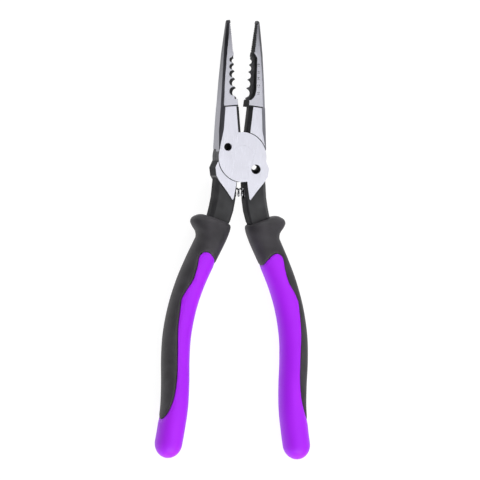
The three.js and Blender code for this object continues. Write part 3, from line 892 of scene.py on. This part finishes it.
# %% The room for the tang
TANG_HALF_WIDTH = 3
TANG_HALF_THICKNESS = 2.2
TANG_ROOT = 12
ROOT_SPREAD = 1.4
TANG_END_MARGIN = 18
TANG_CORNER = 0.5
TANG_STEPS = 24
NECK_HALF_THICKNESS = 4.5
NECK_CORNER = 0.8
NECK_OUTER_CORNER = 1.8
NECK_END = [((6.3, -26), 5.45), ((7.1, -31), 5.3)]
FIT = 0.3


def bar_ring(point, outward, half, deep, corner, outer_corner=None):
    """A flat bar's section with cut corners, the outward two deeper where outer_corner says so."""
    outer = outer_corner or corner
    outline = [
        (half, deep - outer), (half - outer, deep), (corner - half, deep), (-half, deep - corner),
        (-half, corner - deep), (corner - half, -deep), (half - outer, -deep), (half, outer - deep),
    ]
    return [point + outward * side + UP * z for side, z in outline]


def tang_space(name):
    """The room for the neck's end and the tang, with a little clearance all round."""
    rings = []
    for (x, y), half in NECK_END:
        point, outward = Vector((x, y, 0)), grip_place(0)[1]
        deep = NECK_HALF_THICKNESS + FIT
        rings.append(bar_ring(point, outward, half + FIT, deep, NECK_CORNER, NECK_OUTER_CORNER))
    point, outward = grip_place(TANG_ROOT / 2)
    deep = (TANG_HALF_THICKNESS + NECK_HALF_THICKNESS) / 2 + FIT
    rings.append(bar_ring(point, outward, TANG_HALF_WIDTH + ROOT_SPREAD + FIT, deep, TANG_CORNER))
    for step in range(TANG_STEPS + 1):
        distance = lerp(TANG_ROOT, GRIP_LENGTH - TANG_END_MARGIN + FIT, step / TANG_STEPS)
        point, outward = grip_place(distance)
        half, deep = TANG_HALF_WIDTH + FIT, TANG_HALF_THICKNESS + FIT
        rings.append(bar_ring(point, outward, half, deep, TANG_CORNER))
    return skin(rings, name)


tang_room = [2 * (half + FIT) for half in (TANG_HALF_WIDTH, TANG_HALF_THICKNESS)]
print("room for the tang in mm:", [round(size, 1) for size in tang_room])

# %% The tube round the tang
CORE_WALL = 1.4
CORE_START = 3


def core_tube(growth, name):
    """The part of the core that closes round the tang, grown where it makes room in the skin."""
    wall = CORE_WALL + FIT + growth
    start, end = TANG_ROOT + CORE_START - growth, GRIP_LENGTH - GRIP_END_ROUND
    rings = []
    for step in range(TANG_STEPS + 1):
        distance = lerp(start, end, step / TANG_STEPS)
        point, outward = grip_place(distance)
        half, deep = TANG_HALF_WIDTH + wall, TANG_HALF_THICKNESS + wall
        rings.append(bar_ring(point, outward, half, deep, TANG_CORNER + wall / 2))
    return skin(rings, name)


print("wall of the tube in mm:", CORE_WALL)

# %% [markdown]
# ## Grip finishes
# The core is a hard, satin plastic with the fine spark texture of its mould. The skin is a soft rubber:
# duller, a little dusty, with a coarser matt texture that gives the hand some hold. A picture of each
# texture could be wrapped round the grips, but noise has no edges to hide and never repeats.

# %% Grip finishes
def moulded_finish(name, colours, gloss, roughness, texture_size, texture_depth, cloud):
    """A moulded plastic or rubber: two close colours in soft clouds, and a fine mould texture."""
    dark, light = colours
    material, tree, shader = new_finish(name, light, roughness[1])
    shader.inputs["Specular IOR Level"].default_value = gloss
    texture = grain(tree, texture_size, detail=4)
    tree.links.new(tint(tree, spread(tree, cloud(tree), 0, 1), dark, light), shader.inputs["Base Color"])
    tree.links.new(spread(tree, texture, *roughness), shader.inputs["Roughness"])
    relief(tree, shader, texture, texture_depth)
    return material, shader


purple, _ = moulded_finish(
    "purple_plastic", ((0.41, 0.020, 0.92), (0.47, 0.024, 0.99)), gloss=0.15, roughness=(0.38, 0.48),
    texture_size=0.3, texture_depth=0.02, cloud=lambda tree: grain(tree, 14, stretch=(1, 3, 1)),
)
grey, rubber_shader = moulded_finish(
    "grey_rubber", ((0.032, 0.030, 0.034), (0.052, 0.048, 0.055)), gloss=0.35, roughness=(0.54, 0.7),
    texture_size=0.45, texture_depth=0.05, cloud=lambda tree: grain(tree, 7),
)
rubber_shader.inputs["Sheen Weight"].default_value = 0.03
rubber_shader.inputs["Sheen Roughness"].default_value = 0.5
print("grip finishes:", purple.name, "and", grey.name)

# %% [markdown]
# ## Cut the two mouldings
# The core is the form inside the seam together with its tube. The skin is the form outside the seam,
# with room cut for the tube. Both are then cut for the tang. One of each is made, and it serves for both
# hands.

# %% Cut the two mouldings
# How deep each part sinks at the seam, and over how wide a shoulder.
CORE_SEAM = (0.3, 0.7)
COVER_SEAM = (0.8, 1.4)
core_master = grip_form(CORE_SEAM, "core_master")
core_master = combine(core_master, inner_side(0, "side_tool"), "INTERSECT")
core_master = combine(core_master, core_tube(0, "tube_tool"), "UNION")
core_master = combine(core_master, tang_space("tang_tool"), "DIFFERENCE")
cover_master = grip_form(COVER_SEAM, "cover_master")
cover_master = combine(cover_master, inner_side(SEAM_GAP, "side_tool"), "DIFFERENCE")
cover_master = combine(cover_master, core_tube(SEAM_GAP, "tube_tool"), "DIFFERENCE")
cover_master = combine(cover_master, tang_space("tang_tool"), "DIFFERENCE")
print("faces of the core and the skin:", len(core_master.data.polygons), len(cover_master.data.polygons))

# %% [markdown]
# ## The two grips
# The right grip swings with the front half. The left grip is the same pair of mouldings turned over
# about the long axis, and it swings with the rear half.

# %% Place the grips
turn_over = Matrix.Rotation(math.pi, 4, "Y")
to_rest = {
    "right": Matrix.Translation(joint_middle) @ Matrix.Rotation(HALF_OPENING, 4, "Z"),
    "left": Matrix.Translation(joint_middle) @ Matrix.Rotation(-HALF_OPENING, 4, "Z") @ turn_over,
}
GRIP_BODY = {"right": "front_body", "left": "rear_body"}
GRIP_LIP_DEG = 40
for part, master, material, slot in (
    ("core", core_master, purple, "purple_plastic"), ("cover", cover_master, grey, "grey_rubber"),
):
    for hand, place in to_rest.items():
        mesh = master.data.copy()
        mesh.transform(place)
        piece = bpy.data.objects.new(f"{hand}_grip_{part}_moulding", mesh)
        bpy.context.scene.collection.objects.link(piece)
        piece.data.materials.clear()
        piece.data.materials.append(material)
        smooth_shade(piece, GRIP_LIP_DEG)
        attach(piece, GRIP_BODY[hand])
        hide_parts(f"{hand}_grip_{part}")
        print(piece.name, "faces:", len(mesh.polygons))
    bpy.data.objects.remove(master)

# %% [markdown]
# ## Floor and backdrop
# A white acrylic table with a faint light of its own keeps shadows pale, and its glow is what the outer
# walls of the jaws mirror. A roll of pale paper stands round it in a ring, for low views. The paper is
# seen by the camera only, so that the steel doesn't mirror it and its bevels stay dark. The Standard
# view shows colours as they are mixed, so the white stays white.

# %% Floor
scene = bpy.context.scene
scene.view_settings.view_transform = "Standard"
FLOOR_RADIUS = 6
FLOOR_SIDES = 96
FLOOR_PAINT = (0.12, 0.12, 0.12)
FLOOR_GLOW = 0.93


def glowing_paint(name, colour, roughness, light, strength):
    """A matt paint with a faint light of its own."""
    material, _, shader = new_finish(name, colour, roughness)
    shader.inputs["Emission Color"].default_value = (*light, 1)
    shader.inputs["Emission Strength"].default_value = strength
    return material


bm = bmesh.new()
bmesh.ops.create_circle(bm, cap_ends=True, segments=FLOOR_SIDES, radius=FLOOR_RADIUS)
floor = object_from(bm, "floor")
floor.location.z = model_box[0].z
floor.data.materials.append(glowing_paint("floor_paint", FLOOR_PAINT, 0.8, (1, 1, 1), FLOOR_GLOW))
print("floor height in mm:", round(floor.location.z / MM, 2))

# %% Paper backdrop
PAPER_SIDES = 48
PAPER_FOOT = -0.5
PAPER_TOP = 9
PAPER_PAINT = (0.2, 0.2, 0.2)
PAPER_LIGHT = (0.93, 0.94, 0.96)
PAPER_GLOW = 0.8
paper_ring = circle_points(FLOOR_RADIUS / MM, PAPER_SIDES)
backdrop = plate(paper_ring, PAPER_FOOT / MM, PAPER_TOP / MM, "paper_backdrop")
backdrop.data.materials.append(glowing_paint("backdrop_paper", PAPER_PAINT, 0.9, PAPER_LIGHT, PAPER_GLOW))
backdrop.visible_glossy = False
backdrop.visible_diffuse = False
backdrop.visible_shadow = False
print("paper stands this high in m:", PAPER_TOP)

# %% [markdown]
# ## Lights
# One large softbox hangs over the joint, where the ground faces mirror it. Its far edge ends just where
# the noses would mirror it, which makes them a shade darker than the disc. Two more boxes stand beyond
# the jaws and the handles, where no face mirrors them, and light the plastic. A dim strip far to the
# right draws a line on the right-hand chamfers. The room itself is nearly dark.

# %% Lights
ROOM_COLOUR = (0.9, 0.92, 1)
ROOM_LIGHT = 0.04
# Each light: angles across and along the tool, distance, width, length and brightness.
STUDIO_LIGHTS = {
    "overhead_box": (17, -19, 1.2, 1.0, 1.2, 1.3),
    "jaw_end_box": (5, 58, 1.5, 1.6, 0.8, 4.8),
    "handle_end_box": (0, -62, 1.5, 1.6, 0.8, 4.8),
    "right_strip": (76, 0, 1.5, 0.4, 2.0, 0.9),
}

world = bpy.data.worlds.new("studio")
scene.world = world
world.use_nodes = True
world.node_tree.nodes["Background"].inputs["Color"].default_value = (*ROOM_COLOUR, 1)
world.node_tree.nodes["Background"].inputs["Strength"].default_value = ROOM_LIGHT


def softbox(name, across, along, distance, width, length, brightness):
    """A soft area light, seen from the joint at two angles in degrees: across and along the tool."""
    light = bpy.data.lights.new(name, "AREA")
    light.shape = "RECTANGLE"
    light.size = width
    light.size_y = length
    light.energy = brightness * width * length * math.pi
    lamp = bpy.data.objects.new(name, light)
    scene.collection.objects.link(lamp)
    way = Vector((math.tan(math.radians(across)), math.tan(math.radians(along)), 1)).normalized()
    lamp.location = joint_middle + way * distance
    lamp.rotation_euler = way.to_track_quat("Z", "Y").to_euler()
    print(name, "watts:", round(light.energy, 1))


for name, placing in STUDIO_LIGHTS.items():
    softbox(name, *placing)
